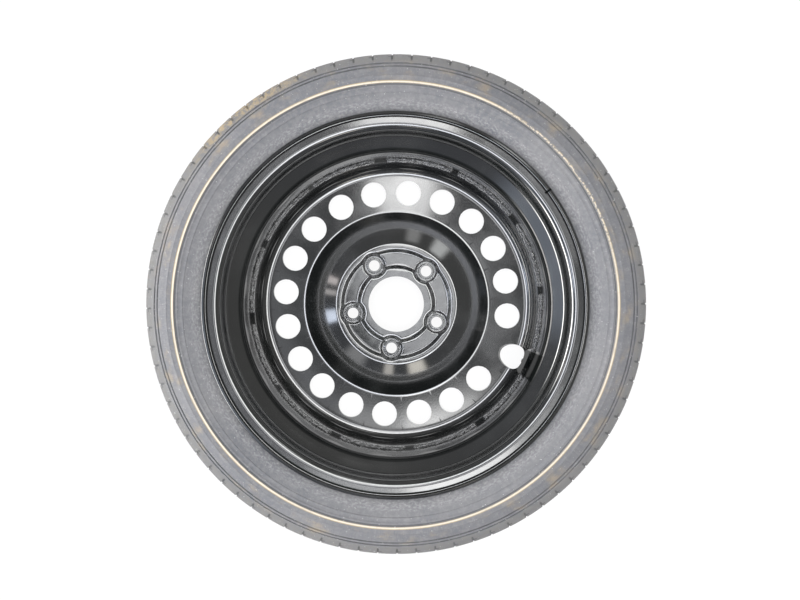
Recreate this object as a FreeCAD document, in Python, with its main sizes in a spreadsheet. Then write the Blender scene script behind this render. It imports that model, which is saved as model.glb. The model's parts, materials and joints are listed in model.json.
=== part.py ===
"""Space saver spare wheel: a narrow temporary tyre on a welded steel wheel.

Millimetres. The origin is the wheel's centre, +Z runs along the axle towards the
inboard side, and the tyre valve lies on the outboard side in the plane Y = 0.
"""
import FreeCAD
import Part

import os
import re

import Sketcher

SIZES = {
    # Tyre
    "tyre_radius": 291.0,
    "tread_half_width": 44.0,
    "tread_drop": 3.0,
    "crown_drop": 0.75,
    "tread_thickness": 10.5,
    "tread_groove_depth": 4.0,
    "tread_groove_width": 6.5,
    "tread_groove_offset": 19.0,
    "shoulder_drop": 17.5,
    "shoulder_half_width": 52.5,
    "rib_share": 0.4336,
    "rib_width": 3.2,
    "rib_height": 0.8,
    "rib_slope": 1.0,
    "section_half_width": 63.0,
    "sidewall_thickness": 7.0,
    "bead_width": 17.0,
    "bead_step_rise": 5.0,
    "bead_step_set": 4.5,
    # Rim
    "rim_thickness": 2.4,
    "bead_seat_radius": 202.8,
    "bead_seat_length": 20.0,
    "bead_seat_taper": 1.75,
    "flange_half_width": 50.8,
    "flange_radius": 219.5,
    "lip_half_width": 61.0,
    "lip_drop": 4.0,
    "lip_slope": 1.2,
    "lip_bend": 4.2,
    "heel_bend": 6.0,
    "bend_share": 0.6,
    "well_radius": 184.4,
    "well_inboard_edge": 19.0,
    "tyre_clearance": 0.3,
    # Disc
    "disc_thickness": 3.4,
    "disc_clearance": 0.2,
    "disc_edge": -20.0,
    "hub_offset": 41.0,
    "bore_radius": 35.75,
    "channel_inner_radius": 46.5,
    "channel_outer_radius": 71.0,
    "channel_depth": 3.6,
    "hub_radius": 77.5,
    "valley_radius": 121.0,
    "valley_offset": 57.0,
    "corner_radius": 11.0,
    "vent_count": 20,
    "vent_pitch_radius": 146.5,
    "vent_radius": 16.5,
    "valve_vent_radius": 16.0,
    "valve_vent_pitch": 168.0,
    "valve_vent_tilt": 42.0,
    "valve_vent_rise": 2.0,
    "bolt_count": 5,
    "bolt_pitch_radius": 57.5,
    "bolt_hole_radius": 7.0,
    "bolt_lobe_radius": 17.0,
    "bolt_lobe_depth": 6.2,
    "bolt_lobe_taper": 2.0,
    "bolt_lobe_wall": 2.4,
    "bolt_collar_width": 2.4,
    "bolt_collar_height": 1.0,
    "nut_seat_radius": 9.4,
    "nut_seat_land": 0.85,
    "cut_margin": 1.0,
    # Weld
    "weld_count": 12,
    "weld_gap": 3.0,
    "weld_leg": 9.0,
    "weld_crown_rise": 5.6,
    "weld_crown_width": 1.9,
    "weld_clearance": 0.1,
    # Valve
    "valve_tilt": 18.0,
    "valve_shift": 0.4,
    "valve_hole_radius": 5.7,
    "valve_button_radius": 6.9,
    "valve_button_height": 4.0,
    "valve_button_edge": 1.5,
    "valve_collar_radius": 7.0,
    "valve_collar_rise": 2.2,
    "valve_collar_height": 2.0,
    "valve_neck_height": 12.5,
    "valve_edge": 0.6,
    "valve_stem_length": 19.0,
    "valve_stem_radius": 4.9,
    "valve_fit": 0.05,
    "insert_radius": 2.9,
    "insert_thread_radius": 3.85,
    "insert_length": 27.0,
    "insert_mouth_radius": 2.6,
    "insert_mouth_depth": 7.0,
    "insert_bore_radius": 1.95,
    "core_plug_length": 5.0,
    "core_plug_depth": 1.0,
    "core_barrel_radius": 1.6,
    "core_barrel_length": 13.0,
    "core_wall": 0.35,
    "core_seat_height": 1.0,
    "core_seal_width": 2.0,
    "core_seal_depth": 6.5,
    "pin_radius": 0.5,
    "pin_clearance": 0.1,
    "pin_cup_radius": 1.55,
    "pin_cup_height": 2.0,
    "pin_cup_taper": 0.4,
    "pin_collar_radius": 1.0,
    "pin_collar_depth": 6.0,
    "pin_collar_height": 0.8,
    "spring_wire": 0.22,
    "spring_turns": 5,
    "cap_radius": 4.8,
    "cap_height": 9.5,
    "cap_wall": 1.2,
    "cap_fit": 0.1,
    "cap_seal_height": 1.0,
    "cap_flute_count": 12,
    "cap_flute_radius": 0.6,
    "cap_flute_offset": 0.2,
}

doc = FreeCAD.newDocument("SpareWheel")
sheet = doc.addObject("Spreadsheet::Sheet", "Sizes")
for row, (alias, value) in enumerate(SIZES.items(), start=1):
    sheet.set(f"A{row}", alias)
    sheet.set(f"B{row}", str(value))
    sheet.setAlias(f"B{row}", alias)
doc.recompute()


def bound(text):
    """Return the expression with each size's name pointing at its cell."""
    return re.sub(r"[a-z][a-z_]+", lambda m: f"Sizes.{m[0]}" if m[0] in SIZES else m[0], str(text))


def number(text):
    """Return the present value of an expression."""
    value = sheet.evalExpression(bound(text))
    return float(getattr(value, "Value", value))


def new_body(label):
    """Return an empty body for one piece."""
    body = doc.addObject("PartDesign::Body", label)
    body.Label = label
    return body


def new_sketch(body, name, role="XZ_Plane"):
    """Return an empty sketch on one of the body's own origin planes."""
    sketch = body.newObject("Sketcher::SketchObject", name)
    plane = next(item for item in body.Origin.OriginFeatures if item.Role == role)
    sketch.AttachmentSupport = [(plane, "")]
    sketch.MapMode = "FlatFace"
    return sketch

class Outline:
    """A sketch's run of straight lines with some corners flattened, each tied to expressions."""

    def __init__(self, sketch):
        self.sketch = sketch
        self.rules = []

    def rule(self, *parts, text=None):
        """Add a constraint and, for a dimension, the expression that drives it."""
        values = list(parts)
        if text is not None:
            values.append(number(text))
        index = self.sketch.addConstraint(Sketcher.Constraint(*values))
        if text is not None:
            self.rules.append((index, text))

    def pin(self, item, place, x_text, y_text):
        """Fix one point of the sketch by its two coordinates."""
        self.rule("DistanceX", -1, 1, item, place, text=x_text)
        self.rule("DistanceY", -1, 1, item, place, text=y_text)

    def line(self, start, end):
        """Add a straight line and return its number."""
        return self.sketch.addGeometry(Part.LineSegment(start, end), False)

    def path(self, corners, closed):
        """Draw lines through corners of (x, y, cut); a cut takes that length off both sides of its corner."""
        points = [FreeCAD.Vector(number(x), number(y), 0) for x, y, _ in corners]
        count = len(points)
        entries = list(points)
        exits = list(points)
        for at, (_, _, cut) in enumerate(corners):
            if cut is not None:
                entries[at] = points[at] + (points[at - 1] - points[at]).normalize() * number(cut)
                exits[at] = points[at] + (points[(at + 1) % count] - points[at]).normalize() * number(cut)
        lines = {}
        flats = {}
        runs = []
        for at in range(count if closed else count - 1):
            onward = (at + 1) % count
            lines[at] = self.line(exits[at], entries[onward])
            runs.append(lines[at])
            if corners[onward][2] is not None:
                flats[onward] = self.line(entries[onward], exits[onward])
                runs.append(flats[onward])
        for at, (x_text, y_text, cut) in enumerate(corners):
            comes = lines.get((at - 1) % count)
            goes = lines.get(at)
            if cut is not None:
                self.rule("Coincident", comes, 2, flats[at], 1)
                self.rule("Coincident", flats[at], 2, goes, 1)
                spot = self.sketch.addGeometry(Part.Point(points[at]), True)
                self.rule("PointOnObject", spot, 1, comes)
                self.rule("PointOnObject", spot, 1, goes)
                self.pin(spot, 1, x_text, y_text)
                self.rule("Distance", spot, 1, flats[at], 1, text=cut)
                self.rule("Distance", spot, 1, flats[at], 2, text=cut)
            else:
                if comes is not None and goes is not None:
                    self.rule("Coincident", comes, 2, goes, 1)
                item, place = (goes, 1) if goes is not None else (comes, 2)
                self.pin(item, place, x_text, y_text)
        return runs

    def thicken(self, runs, wall):
        """Close an open path into a strip whose wall lies on the path's right."""
        gap = number(wall)
        ends = [(self.sketch.getPoint(run, 1), self.sketch.getPoint(run, 2)) for run in runs]
        along = [(end - start).normalize() for start, end in ends]
        right = [FreeCAD.Vector(step.y, -step.x, 0) for step in along]
        spots = [ends[0][0] + right[0] * gap]
        for before, after, (_, end) in zip(right, right[1:], ends):
            spots.append(end + (before + after) * (gap / (1.0 + before.dot(after))))
        spots.append(ends[-1][1] + right[-1] * gap)
        twins = [self.line(start, end) for start, end in zip(spots, spots[1:])]
        for before, after in zip(twins, twins[1:]):
            self.rule("Coincident", before, 2, after, 1)
        for run, twin in zip(runs, twins):
            self.rule("Parallel", run, twin)
            self.rule("Distance", run, 1, twin, text=wall)
        for run, twin, place in ((runs[0], twins[0], 1), (runs[-1], twins[-1], 2)):
            cap = self.line(self.sketch.getPoint(run, place), self.sketch.getPoint(twin, place))
            self.rule("Coincident", cap, 1, run, place)
            self.rule("Coincident", cap, 2, twin, place)
            self.rule("Perpendicular", cap, run)

    def own_axis(self, run):
        """Add an axis along one line, for turning the outline about it."""
        axis = self.sketch.addGeometry(self.sketch.Geometry[run], True)
        self.sketch.setConstruction(axis, True)
        self.rule("Coincident", axis, 1, run, 1)
        self.rule("Coincident", axis, 2, run, 2)

    def bind(self):
        """Tie every dimension to its cells."""
        for index, text in self.rules:
            self.sketch.setExpression(f"Constraints[{index}]", bound(text))


def closed_profile(body, name, corners, role="XZ_Plane"):
    """Return a sketch of one closed outline."""
    outline = Outline(new_sketch(body, name, role))
    outline.path(corners, closed=True)
    outline.bind()
    return outline.sketch


def strip_profile(body, name, corners, wall):
    """Return a sketch of a sheet's section: an open path with its wall on the right."""
    outline = Outline(new_sketch(body, name))
    outline.thicken(outline.path(corners, closed=False), wall)
    outline.bind()
    return outline.sketch


def own_axis_profile(body, name, corners):
    """Return a sketch of half a turned form, whose first line is the axis it turns about."""
    outline = Outline(new_sketch(body, name))
    outline.own_axis(outline.path(corners, closed=True)[0])
    outline.bind()
    return outline.sketch


def circle_profile(body, name, x_text, y_text, radius):
    """Return a sketch of one circle across the body's Z axis."""
    outline = Outline(new_sketch(body, name, "XY_Plane"))
    centre = FreeCAD.Vector(number(x_text), number(y_text), 0)
    ring = outline.sketch.addGeometry(Part.Circle(centre, FreeCAD.Vector(0, 0, 1), number(radius)), False)
    outline.pin(ring, 3, x_text, y_text)
    outline.rule("Radius", ring, text=radius)
    outline.bind()
    return outline.sketch


def pocket_through(body, name, sketch):
    """Cut a sketch right through the body, both ways."""
    feature = body.newObject("PartDesign::Pocket", name)
    feature.Profile = sketch
    feature.Type = "ThroughAll"
    feature.Midplane = True
    doc.recompute()
    return feature


def revolve(body, name, sketch, kind="Revolution", angle=360.0, axis="V_Axis"):
    """Turn a sketch about one of its own axes."""
    feature = body.newObject(f"PartDesign::{kind}", name)
    feature.Profile = sketch
    feature.ReferenceAxis = (sketch, [axis])
    feature.Angle = angle
    doc.recompute()
    return feature


def polar(body, name, features, count, angle="360"):
    """Repeat features about the body's own Z axis."""
    pattern = body.newObject("PartDesign::PolarPattern", name)
    pattern.Originals = features
    z_axis = next(item for item in body.Origin.OriginFeatures if item.Role == "Z_Axis")
    pattern.Axis = (z_axis, [""])
    pattern.setExpression("Angle", bound(angle))
    pattern.setExpression("Occurrences", bound(count))
    body.Tip = pattern
    doc.recompute()
    return pattern


def turned(label, corners):
    """Return a body turned from one closed outline about its Z axis."""
    body = new_body(label)
    revolve(body, label + "_turn", closed_profile(body, label + "_section", corners))
    return body


def mirrored_half(half):
    """Return the outline of a section that is the same on both sides of the wheel's mid-plane."""
    return half + [(x, f"-({y})", radius) for x, y, radius in reversed(half)]


def make_tyre():
    """The tyre: a hollow section with a grooved tread and a ribbed sidewall."""
    heel = "bead_seat_radius + tyre_clearance"
    face = "flange_half_width - tyre_clearance"
    groove_floor = "tyre_radius - tread_groove_depth"
    groove_inner = "tread_groove_offset - tread_groove_width / 2"
    groove_outer = "tread_groove_offset + tread_groove_width / 2"
    shoulder = "tyre_radius - shoulder_drop"
    rib = "flange_radius + rib_share * (tyre_radius - flange_radius)"
    rib_out = f"{rib} + rib_width / 2"
    rib_in = f"{rib} - rib_width / 2"
    sidewall = "section_half_width - rib_height"
    outer = [
        (groove_floor, "tread_groove_width / 2", None),
        ("tyre_radius", "tread_groove_width / 2", None),
        ("tyre_radius - crown_drop", groove_inner, None),
        (f"{groove_floor} - crown_drop", groove_inner, None),
        (f"{groove_floor} - crown_drop", groove_outer, None),
        ("tyre_radius - crown_drop", groove_outer, None),
        ("tyre_radius - tread_drop", "tread_half_width", None),
        (shoulder, "shoulder_half_width", None),
        (f"{rib_out} + rib_slope", sidewall, None),
        (rib_out, "section_half_width", None),
        (rib_in, "section_half_width", None),
        (f"{rib_in} - rib_slope", sidewall, None),
        ("flange_radius + bead_step_rise", "lip_half_width - bead_step_set", None),
        ("flange_radius - lip_bend / 2", face, None),
        (heel, face, "bend_share * heel_bend"),
        (f"{heel} - bead_seat_taper * bead_width / bead_seat_length", f"{face} - bead_width", None),
    ]
    inner = [
        ("flange_radius", f"{face} - bead_width / 3", None),
        (rib, "section_half_width - sidewall_thickness - rib_height", None),
        (shoulder, "shoulder_half_width - sidewall_thickness", None),
        ("tyre_radius - tread_thickness", "tread_half_width - tread_thickness", None),
    ]
    return turned("tyre", mirrored_half(outer + inner))


def rim_wall_edge():
    """Where the outboard wall of the rim's well meets the bead seat, and where it meets the floor."""
    seat_end = "bead_seat_radius - bead_seat_taper"
    seat_z = "-(flange_half_width - bead_seat_length)"
    floor_z = f"{seat_z} + ({seat_end} - well_radius) * tan(valve_tilt * 1 deg)"
    return seat_end, seat_z, floor_z


def make_rim():
    """The rim: one rolled strip from lip to lip, with its drop centre nearer the outboard side."""
    body = new_body("rim")
    seat_end, seat_z, floor_z = rim_wall_edge()
    lip = "flange_radius - lip_drop"
    lip_bend = "bend_share * lip_bend"
    heel_bend = "bend_share * heel_bend"
    corners = [
        (lip, "lip_half_width", None),
        ("flange_radius", "lip_half_width - lip_slope", None),
        ("flange_radius", "flange_half_width", lip_bend),
        ("bead_seat_radius", "flange_half_width", heel_bend),
        (seat_end, "flange_half_width - bead_seat_length", None),
        ("well_radius", "well_inboard_edge", None),
        ("well_radius", floor_z, None),
        (seat_end, seat_z, None),
        ("bead_seat_radius", "-flange_half_width", heel_bend),
        ("flange_radius", "-flange_half_width", lip_bend),
        ("flange_radius", "lip_slope - lip_half_width", None),
        (lip, "-lip_half_width", None),
    ]
    revolve(body, "rim_turn", strip_profile(body, "rim_section", corners, "rim_thickness"))
    x_text, z_text = valve_seat()
    bore_across(body, "valve_hole", tilted_box(
        x_text, z_text, "-valve_tilt", "-rim_thickness", "2 * rim_thickness", "valve_hole_radius"))
    return body


def tilted_box(axis_x, axis_z, tilt, start, stop, radius):
    """Return the corners of half a round bar's section, on an axis leaning by tilt from -Z."""
    lean = f"sin({tilt} * 1 deg)"
    drop = f"cos({tilt} * 1 deg)"
    corners = []
    for along, across in ((start, "0"), (stop, "0"), (stop, radius), (start, radius)):
        x_text = f"{axis_x} + ({along}) * {lean} + ({across}) * {drop}"
        z_text = f"{axis_z} - ({along}) * {drop} + ({across}) * {lean}"
        corners.append((x_text, z_text, None))
    return corners


def bore_across(body, name, corners):
    """Cut a round hole whose half section starts with the two points of its axis."""
    feature = revolve(body, name, own_axis_profile(body, name + "_section", corners), "Groove", axis="Axis0")
    body.Tip = feature
    return feature


def valve_seat():
    """Where the valve's axis crosses the tyre side of the rim's outboard wall."""
    seat_end, seat_z, floor_z = rim_wall_edge()
    x_text = f"({seat_end} + well_radius) / 2 + valve_shift * cos(valve_tilt * 1 deg)"
    z_text = f"({seat_z} + {floor_z}) / 2 - valve_shift * sin(valve_tilt * 1 deg)"
    return x_text, z_text


def make_disc():
    """The disc: one pressed sheet, from the hub's seat out over a vented crown to the flange."""
    body = new_body("wheel_disc")
    flange = "well_radius - rim_thickness - disc_clearance - disc_thickness"
    channel_z = "-(hub_offset + channel_depth)"
    corners = [
        ("bore_radius", "-hub_offset", None),
        ("channel_inner_radius", "-hub_offset", None),
        ("channel_inner_radius + channel_depth", channel_z, None),
        ("channel_outer_radius - channel_depth", channel_z, None),
        ("channel_outer_radius", "-hub_offset", None),
        ("hub_radius", "-hub_offset", None),
        ("valley_radius", "-valley_offset", None),
        (flange, "-valley_offset", "bend_share * corner_radius"),
        (flange, "disc_edge", None),
    ]
    revolve(body, "disc_press", strip_profile(body, "disc_section", corners, "disc_thickness"))

    floor_z = "-(hub_offset + bolt_lobe_depth)"
    back_z = f"{floor_z} - disc_thickness"
    foot = "bolt_pitch_radius + bolt_lobe_radius - bolt_lobe_taper"
    boss = own_axis_profile(body, "bolt_boss_section", [
        ("bolt_pitch_radius", back_z, None),
        ("bolt_pitch_radius", "-hub_offset - disc_thickness", None),
        ("bolt_pitch_radius + bolt_lobe_radius + bolt_lobe_wall", "-hub_offset - disc_thickness", None),
        (f"{foot} + bolt_lobe_wall", back_z, None),
    ])
    bolt_boss = revolve(body, "bolt_boss", boss, axis="Axis0")
    collar = "bolt_pitch_radius + bolt_hole_radius + bolt_collar_width"
    bolt_dish = bore_across(body, "bolt_dish", [
        ("bolt_pitch_radius", f"{back_z} - cut_margin", None),
        ("bolt_pitch_radius", "cut_margin - hub_offset", None),
        ("bolt_pitch_radius + bolt_lobe_radius", "cut_margin - hub_offset", None),
        ("bolt_pitch_radius + bolt_lobe_radius", "-hub_offset", None),
        (foot, floor_z, None),
        (f"{collar} + bolt_collar_height / 2", floor_z, None),
        (collar, f"{floor_z} + bolt_collar_height", None),
        ("bolt_pitch_radius + bolt_hole_radius", f"{floor_z} + bolt_collar_height", None),
        ("bolt_pitch_radius + bolt_hole_radius", f"{floor_z} - nut_seat_land", None),
        ("bolt_pitch_radius + nut_seat_radius", back_z, None),
        ("bolt_pitch_radius + nut_seat_radius", f"{back_z} - cut_margin", None),
    ])
    polar(body, "bolt_seats", [bolt_boss, bolt_dish], "bolt_count")

    vent = pocket_through(body, "vent", circle_profile(
        body, "vent_circle", "vent_pitch_radius * cos(360 deg / vent_count)",
        "vent_pitch_radius * sin(360 deg / vent_count)", "vent_radius"))
    polar(body, "vents", [vent], "vent_count - 1", "360 * (vent_count - 2) / vent_count")

    reach = "corner_radius + 2 * disc_thickness"
    bore_across(body, "valve_vent", tilted_box(
        "valve_vent_pitch", "valve_vent_rise - valley_offset", "valve_vent_tilt",
        f"-({reach})", reach, "valve_vent_radius"))
    return body


def make_weld():
    """The weld: separate runs that close the corner between the disc's edge and the rim's well."""
    body = new_body("disc_weld")
    body.AllowCompound = True
    well = "well_radius - rim_thickness - weld_clearance"
    foot = "disc_edge + weld_clearance"
    section = closed_profile(body, "weld_section", [
        (f"{well} - disc_thickness - disc_clearance + weld_clearance", foot, None),
        (well, foot, None),
        (well, "disc_edge + weld_leg", None),
        (f"{well} - weld_crown_width", "disc_edge + weld_crown_rise", None),
    ])
    run = revolve(body, "weld_run", section)
    run.setExpression("Angle", bound("360 / weld_count - weld_gap"))
    polar(body, "weld_runs", [run], "weld_count")
    return body


def seat_on_valve(body):
    """Stand a piece of the valve on the valve's axis, leaning out of the rim's outboard wall."""
    x_text, z_text = valve_seat()
    lean = FreeCAD.Rotation(FreeCAD.Vector(0, 1, 0), number("180 + valve_tilt"))
    body.Placement = FreeCAD.Placement(FreeCAD.Vector(number(x_text), 0, number(z_text)), lean)
    body.setExpression("Placement.Base.x", bound(x_text))
    body.setExpression("Placement.Base.z", bound(z_text))
    body.setExpression("Placement.Rotation.Angle", bound("180 + valve_tilt"))
    return body


def make_valve():
    """The valve's pieces, each turned about the valve's own axis with z = 0 on the rim's tyre side."""
    sleeve = "insert_radius + valve_fit"
    insert_foot = "rim_thickness"
    mouth_floor = "insert_length - insert_mouth_depth"
    stem = turned("valve_stem", [
        ("insert_bore_radius", "-valve_button_height", None),
        ("valve_button_radius - valve_button_edge", "-valve_button_height", None),
        ("valve_button_radius", "valve_button_edge - valve_button_height", None),
        ("valve_button_radius", "-valve_fit", None),
        ("valve_hole_radius - valve_fit", "-valve_fit", None),
        ("valve_hole_radius - valve_fit", "rim_thickness + valve_fit", None),
        ("valve_collar_radius", "rim_thickness + valve_collar_rise", None),
        ("valve_collar_radius", "rim_thickness + valve_collar_rise + valve_collar_height", None),
        ("valve_stem_radius", "valve_neck_height", None),
        ("valve_stem_radius", "valve_stem_length", "valve_edge"),
        (sleeve, "valve_stem_length", None),
        (sleeve, f"{insert_foot} - valve_fit", None),
        ("insert_bore_radius", f"{insert_foot} - valve_fit", None),
    ])
    insert = turned("valve_insert", [
        ("insert_bore_radius", insert_foot, None),
        ("insert_radius", insert_foot, None),
        ("insert_radius", "valve_stem_length + valve_fit", None),
        ("insert_thread_radius", "valve_stem_length + valve_fit", None),
        ("insert_thread_radius", "insert_length", "valve_edge"),
        ("insert_mouth_radius", "insert_length", None),
        ("insert_mouth_radius", mouth_floor, None),
        ("insert_bore_radius", f"{mouth_floor} - core_seat_height", None),
    ])
    plug_top = "insert_length - core_plug_depth"
    plug_foot = f"{plug_top} - core_plug_length"
    barrel_foot = f"{plug_foot} - core_barrel_length"
    pin_hole = "pin_radius + pin_clearance"
    chamber = "core_barrel_radius - core_wall"
    core = turned("core_body", [
        (pin_hole, barrel_foot, None),
        ("core_barrel_radius", barrel_foot, None),
        ("core_barrel_radius", f"{plug_foot} - core_seat_height", None),
        ("insert_mouth_radius - valve_fit", plug_foot, None),
        ("insert_mouth_radius - valve_fit", plug_top, None),
        (pin_hole, plug_top, None),
        (pin_hole, plug_foot, None),
        (chamber, plug_foot, None),
        (chamber, f"{barrel_foot} + core_seat_height", None),
        (pin_hole, f"{barrel_foot} + core_seat_height", None),
    ])
    seal_top = f"{plug_top} - core_seal_depth"
    seal = turned("core_seal", [
        ("core_barrel_radius + valve_fit", f"{seal_top} - core_seal_width", None),
        ("insert_bore_radius - valve_fit", f"{seal_top} - core_seal_width", None),
        ("insert_bore_radius - valve_fit", seal_top, None),
        ("core_barrel_radius + valve_fit", seal_top, None),
    ])
    collar_top = f"{plug_foot} - pin_collar_depth + pin_collar_height"
    collar_foot = f"{plug_foot} - pin_collar_depth"
    pin = turned("core_pin", [
        ("0", f"{barrel_foot} - pin_clearance - pin_cup_height", None),
        ("pin_cup_radius - pin_cup_taper", f"{barrel_foot} - pin_clearance - pin_cup_height", None),
        ("pin_cup_radius", f"{barrel_foot} - pin_clearance", None),
        ("pin_radius", f"{barrel_foot} - pin_clearance", None),
        ("pin_radius", collar_foot, None),
        ("pin_collar_radius", collar_foot, None),
        ("pin_collar_radius", collar_top, None),
        ("pin_radius", collar_top, None),
        ("pin_radius", f"{plug_top} + core_plug_depth / 2", None),
        ("0", f"{plug_top} + core_plug_depth / 2", None),
    ])
    spring_foot = f"{barrel_foot} + core_seat_height + pin_clearance"
    spring_top = f"{collar_foot} - pin_clearance - spring_wire"
    spring = new_body("core_spring")
    coil_inner = f"({chamber} + pin_radius - spring_wire) / 2"
    coil_outer = f"({chamber} + pin_radius + spring_wire) / 2"
    wire = closed_profile(spring, "wire_section", [
        (coil_inner, spring_foot, None),
        (coil_outer, spring_foot, None),
        (coil_outer, f"{spring_foot} + spring_wire", None),
        (coil_inner, f"{spring_foot} + spring_wire", None),
    ])
    coil = spring.newObject("PartDesign::AdditiveHelix", "coil")
    coil.Profile = wire
    coil.ReferenceAxis = (wire, ["V_Axis"])
    coil.Mode = "height-turns-angle"
    coil.setExpression("Height", bound(f"{spring_top} - ({spring_foot})"))
    coil.setExpression("Turns", bound("spring_turns"))
    doc.recompute()

    lid = "insert_length + valve_fit + cap_seal_height + valve_fit"
    cap_bore = "insert_thread_radius + cap_fit"
    cap_foot = f"{lid} + cap_wall - cap_height"
    cap = turned("valve_cap", [
        (cap_bore, cap_foot, None),
        ("cap_radius", cap_foot, None),
        ("cap_radius", f"{lid} + cap_wall", "valve_edge"),
        ("0", f"{lid} + cap_wall", None),
        ("0", lid, None),
        (cap_bore, lid, None),
    ])
    flute = pocket_through(cap, "flute", circle_profile(
        cap, "flute_circle", "cap_radius + cap_flute_offset", "0", "cap_flute_radius"))
    polar(cap, "flutes", [flute], "cap_flute_count")
    cap_seal = turned("cap_seal", [
        ("0", "insert_length + valve_fit", None),
        ("insert_thread_radius - 2 * cap_fit", "insert_length + valve_fit", None),
        ("insert_thread_radius - 2 * cap_fit", "insert_length + valve_fit + cap_seal_height", None),
        ("0", "insert_length + valve_fit + cap_seal_height", None),
    ])
    return [seat_on_valve(body) for body in (stem, insert, core, seal, pin, spring, cap, cap_seal)]


pieces = [make_rim(), make_disc(), make_weld(), *make_valve(), make_tyre()]
doc.recompute()

for item in doc.Objects:
    if "Invalid" in item.State or "Error" in item.State:
        raise RuntimeError(f"{item.Label}: {item.State}")
for piece in pieces:
    if piece.Shape.isNull() or not piece.Shape.isValid():
        raise RuntimeError(f"{piece.Label}: no valid shape")

os.makedirs("parts", exist_ok=True)
for piece in pieces:
    piece.Shape.exportStep(f"parts/{piece.Label}.step")
    print(piece.Label, round(piece.Shape.Volume), piece.Shape.BoundBox)
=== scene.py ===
"""Looks of the space saver spare wheel, lying on its outboard sidewall and seen from above."""
import json
import math

import bmesh
import bpy
import numpy as np
from mathutils import Matrix, Vector


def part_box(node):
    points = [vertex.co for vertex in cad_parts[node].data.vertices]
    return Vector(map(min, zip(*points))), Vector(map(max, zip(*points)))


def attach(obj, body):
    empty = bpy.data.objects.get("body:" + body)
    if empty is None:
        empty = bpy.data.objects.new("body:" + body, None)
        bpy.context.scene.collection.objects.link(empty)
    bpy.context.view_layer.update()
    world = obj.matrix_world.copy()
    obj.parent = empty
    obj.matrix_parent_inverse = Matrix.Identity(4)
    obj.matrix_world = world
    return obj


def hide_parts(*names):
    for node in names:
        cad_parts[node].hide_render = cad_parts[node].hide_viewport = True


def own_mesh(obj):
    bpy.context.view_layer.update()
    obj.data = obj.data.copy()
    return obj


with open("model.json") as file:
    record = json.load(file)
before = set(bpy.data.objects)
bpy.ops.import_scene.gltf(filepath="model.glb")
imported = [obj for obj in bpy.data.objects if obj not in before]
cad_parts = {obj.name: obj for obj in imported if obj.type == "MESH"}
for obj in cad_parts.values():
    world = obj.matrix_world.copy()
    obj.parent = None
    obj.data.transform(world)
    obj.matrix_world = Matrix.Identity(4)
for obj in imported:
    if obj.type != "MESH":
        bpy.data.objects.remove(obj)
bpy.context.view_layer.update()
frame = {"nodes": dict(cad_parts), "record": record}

MM = 0.001
WHEEL = "wheel"

# Sizes in millimetres that the surfaces share, read from the frame where it states them
MOUNTS = {mount["name"]: mount for mount in frame["record"]["mounts"]}
BORE_RADIUS = MOUNTS["hub_bore"]["dims"]["r_mm"]
BOLT_PITCH_RADIUS = MOUNTS["wheel_bolts"]["dims"]["pcd_mm"] / 2.0
BOLT_COUNT = MOUNTS["wheel_bolts"]["dims"]["count"]
BOLT_HOLE_RADIUS = MOUNTS["wheel_bolts"]["dims"]["hole_r_mm"]
HUB_Z = MOUNTS["hub_face"]["pos_m"][2] / MM
TYRE_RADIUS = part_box("tyre")[1][0] / MM
FLOOR_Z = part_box("tyre")[0][2]

# Rim, from lip to lip
RIM_WALL = 2.4
LIP_RADIUS = 219.5
LIP_HALF_WIDTH = 61.0
FLANGE_HALF_WIDTH = 50.8
BEAD_SEAT_RADIUS = 202.8
BEAD_SEAT_LENGTH = 20.0
BEAD_SEAT_END = BEAD_SEAT_RADIUS - 1.75
WELL_RADIUS = 184.4
WELL_INBOARD_Z = 19.0
VALVE_TILT = 18.0
VALVE_HOLE_RADIUS = 5.7
VALVE_SHIFT = 0.4
OUTBOARD_SEAT_Z = BEAD_SEAT_LENGTH - FLANGE_HALF_WIDTH
WELL_OUTBOARD_Z = OUTBOARD_SEAT_Z + (BEAD_SEAT_END - WELL_RADIUS) * math.tan(math.radians(VALVE_TILT))
VALVE_SEAT = ((BEAD_SEAT_END + WELL_RADIUS) / 2.0 + VALVE_SHIFT * math.cos(math.radians(VALVE_TILT)), 0.0,
              (OUTBOARD_SEAT_Z + WELL_OUTBOARD_Z) / 2.0 - VALVE_SHIFT * math.sin(math.radians(VALVE_TILT)))

# Tyre
SHOULDER = (273.5, 52.5)
TREAD_EDGE = (288.0, 44.0)
SIDEWALL_RADIUS = 250.5
SIDEWALL_HALF_WIDTH = 62.2
RIB = {"width": 3.2, "height": 0.8}
TREAD_GROOVE = {"places": (0.0, 19.0), "width": 6.5, "depth": 4.0}
SHOULDER_SLOT = {"count": 80, "width": 1.6, "depth": 1.0, "inner_radius": 279.5, "tread_z": 33.0,
                 "ramp": 0.4}
SHOULDER_GROOVES = {"radii": (270.6, 274.8), "width": 1.5, "depth": 0.9}
MOULD_LINES = {"radii": (239.6, 245.2, 258.0), "width": 0.8, "height": 0.35}
OUTLINE_SPACING = 4.2

# Disc, from the bore to the flange
DISC_WALL = 3.4
CHANNEL = (46.5, 71.0, 3.6)
HUB_RADIUS = 77.5
VALLEY_RADIUS = 121.0
VALLEY_Z = -57.0
FLANGE_INNER_RADIUS = WELL_RADIUS - RIM_WALL - 0.2 - DISC_WALL
DISC_EDGE_Z = -20.0
VENT_COUNT = 20
VENT_PITCH_RADIUS = 146.5
VENT_RADIUS = 16.5
VALVE_VENT = {"radius": 16.0, "pitch": 168.0, "z": VALLEY_Z + 2.0, "tilt": 42.0}
LOBE_RADIUS = 17.0
LOBE_DEPTH = 6.2
LOBE_TAPER = 5.0
COLLAR_RADIUS = BOLT_HOLE_RADIUS + 2.4
NUT_SEAT_RADIUS = 9.4


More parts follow.
